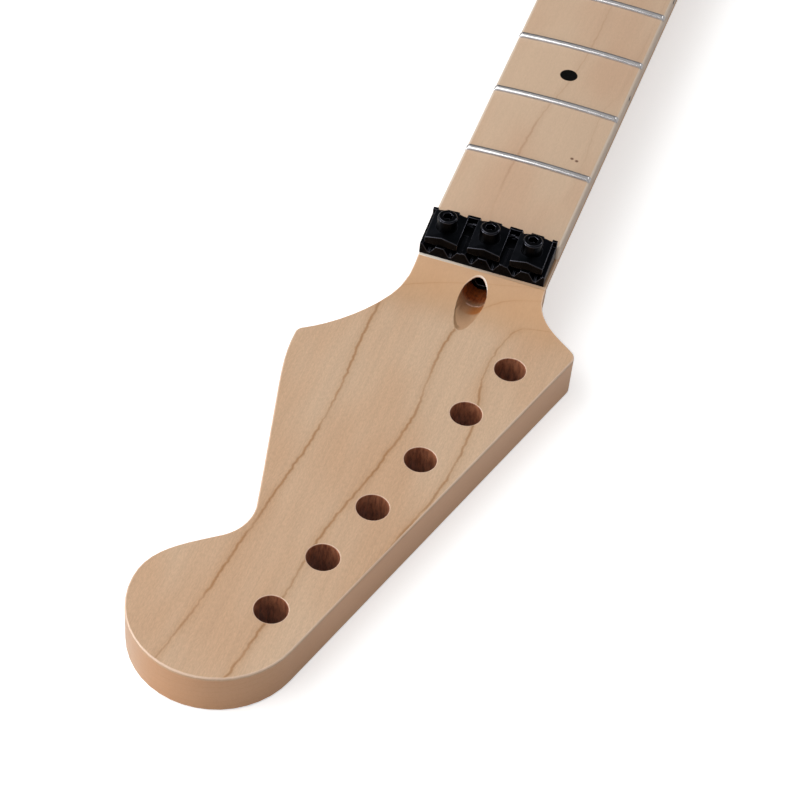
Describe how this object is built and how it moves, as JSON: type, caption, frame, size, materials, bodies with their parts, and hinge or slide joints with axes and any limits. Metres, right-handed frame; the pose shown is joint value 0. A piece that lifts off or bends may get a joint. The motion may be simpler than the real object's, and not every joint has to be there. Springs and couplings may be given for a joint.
{
  "type": "electric guitar neck",
  "caption": "Bolt-on electric guitar neck with a six-in-line headstock, fretted maple board, adjustable truss rod and a clamping lock nut.",
  "frame": {"origin": "centre of the four neck screws, on the heel's flat back", "axes": "+X along the neck from heel to headstock, +Y to the bass side, where the tuners go, +Z out of the fretboard"},
  "size_m": [0.6709, 0.0944, 0.0325],
  "materials": {
    "neck_maple": "pale maple under a thin satin finish",
    "board_maple": "pale maple under a glossier clear finish",
    "fret_wire": "polished nickel silver wire",
    "inlay": "black plastic, levelled with the wood",
    "black_hardware": "satin black plating on steel",
    "rod_steel": "plain drawn steel",
    "rod_brass": "plain machined brass"
  },
  "bodies": {
    "neck": {"neck_blank": "neck_maple", "fretboard": "board_maple", "fret_01": "fret_wire", "fret_02": "fret_wire", "fret_03": "fret_wire", "fret_04": "fret_wire", "fret_05": "fret_wire", "fret_06": "fret_wire", "fret_07": "fret_wire", "fret_08": "fret_wire", "fret_09": "fret_wire", "fret_10": "fret_wire", "fret_11": "fret_wire", "fret_12": "fret_wire", "fret_13": "fret_wire", "fret_14": "fret_wire", "fret_15": "fret_wire", "fret_16": "fret_wire", "fret_17": "fret_wire", "fret_18": "fret_wire", "fret_19": "fret_wire", "fret_20": "fret_wire", "fret_21": "fret_wire", "fret_22": "fret_wire", "marker_03": "inlay", "marker_05": "inlay", "marker_07": "inlay", "marker_09": "inlay", "marker_12_treble": "inlay", "marker_12_bass": "inlay", "marker_15": "inlay", "marker_17": "inlay", "marker_19": "inlay", "marker_21": "inlay", "side_marker_03": "inlay", "side_marker_05": "inlay", "side_marker_07": "inlay", "side_marker_09": "inlay", "side_marker_12_treble": "inlay", "side_marker_12_bass": "inlay", "side_marker_15": "inlay", "side_marker_17": "inlay", "side_marker_19": "inlay", "side_marker_21": "inlay", "truss_rod_block_nut": "rod_brass", "truss_rod_block_heel": "rod_brass", "truss_rod_bar": "rod_steel", "nut_base": "black_hardware", "nut_screw_treble": "black_hardware", "nut_screw_bass": "black_hardware"},
    "clamp_treble_pad": {"clamp_pad_treble": "black_hardware"},
    "clamp_treble_screw": {"clamp_screw_treble": "black_hardware"},
    "clamp_middle_pad": {"clamp_pad_middle": "black_hardware"},
    "clamp_middle_screw": {"clamp_screw_middle": "black_hardware"},
    "clamp_bass_pad": {"clamp_pad_bass": "black_hardware"},
    "clamp_bass_screw": {"clamp_screw_bass": "black_hardware"},
    "truss_rod_rotor": {"truss_rod_shaft": "rod_steel", "truss_rod_adjuster": "black_hardware"}
  },
  "joints": [
    {"name": "clamp_pad_lift_treble", "type": "slide", "parent": "neck", "child": "clamp_treble_pad", "axis": [0, 0, 1], "range_m": [0, 0.0032]},
    {"name": "clamp_screw_turn_treble", "type": "hinge", "parent": "clamp_treble_pad", "child": "clamp_treble_screw", "pos_m": [0.43241, -0.0151, 0.0274], "axis": [0, 0, 1], "range_deg": [0, 1440]},
    {"name": "clamp_pad_lift_middle", "type": "slide", "parent": "neck", "child": "clamp_middle_pad", "axis": [0, 0, 1], "range_m": [0, 0.0032]},
    {"name": "clamp_screw_turn_middle", "type": "hinge", "parent": "clamp_middle_pad", "child": "clamp_middle_screw", "pos_m": [0.43241, -0.0006, 0.0274], "axis": [0, 0, 1], "range_deg": [0, 1440]},
    {"name": "clamp_pad_lift_bass", "type": "slide", "parent": "neck", "child": "clamp_bass_pad", "axis": [0, 0, 1], "range_m": [0, 0.0032]},
    {"name": "clamp_screw_turn_bass", "type": "hinge", "parent": "clamp_bass_pad", "child": "clamp_bass_screw", "pos_m": [0.43241, 0.0139, 0.0274], "axis": [0, 0, 1], "range_deg": [0, 1440]},
    {"name": "truss_rod_turn", "type": "hinge", "parent": "neck", "child": "truss_rod_rotor", "pos_m": [0.43826, 0, 0.0139], "axis": [1, 0, 0], "range_deg": [-360, 360]}
  ],
  "couplings": [
    {"joint": "clamp_screw_turn_treble", "follows": "clamp_pad_lift_treble", "rad_per_m": 7853.9},
    {"joint": "clamp_screw_turn_middle", "follows": "clamp_pad_lift_middle", "rad_per_m": 7853.9},
    {"joint": "clamp_screw_turn_bass", "follows": "clamp_pad_lift_bass", "rad_per_m": 7853.9}
  ]
}
